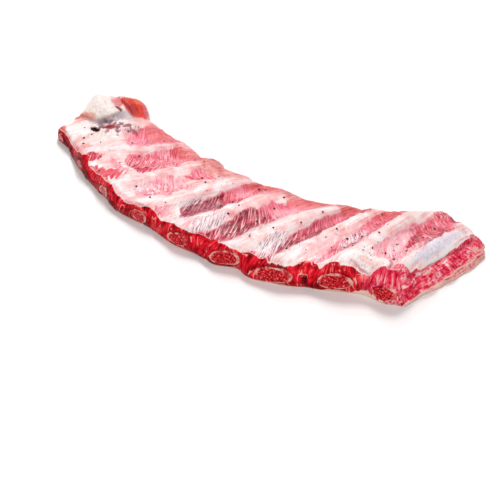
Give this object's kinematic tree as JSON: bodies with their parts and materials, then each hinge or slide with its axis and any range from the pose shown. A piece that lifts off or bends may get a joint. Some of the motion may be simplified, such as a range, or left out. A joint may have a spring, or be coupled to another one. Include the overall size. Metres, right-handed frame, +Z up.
{
  "type": "rack of pork ribs",
  "caption": "Raw rack of pork ribs: a long curved slab of meat and fat with oval rib bones running through it, seasoned with cracked pepper.",
  "frame": {"origin": "middle of the bounding box, on the surface that the rack lies on", "axes": "+X along the rack from the first rib's thin end to the last rib's broad end, +Y from the front cut edge towards the back edge, +Z up"},
  "size_m": [0.3598, 0.137, 0.0263],
  "materials": {
    "raw_meat": "raw pink meat with white fat over the ribs, wet gloss",
    "rib_bone": "sawn bone, pale rim and dark red spongy middle"
  },
  "bodies": {
    "root": {"rack_meat": "raw_meat", "rib_bone_1": "rib_bone", "rib_bone_2": "rib_bone", "rib_bone_3": "rib_bone", "rib_bone_4": "rib_bone", "rib_bone_5": "rib_bone", "rib_bone_6": "rib_bone", "rib_bone_7": "rib_bone", "rib_bone_8": "rib_bone", "rib_bone_9": "rib_bone"}
  },
  "joints": []
}
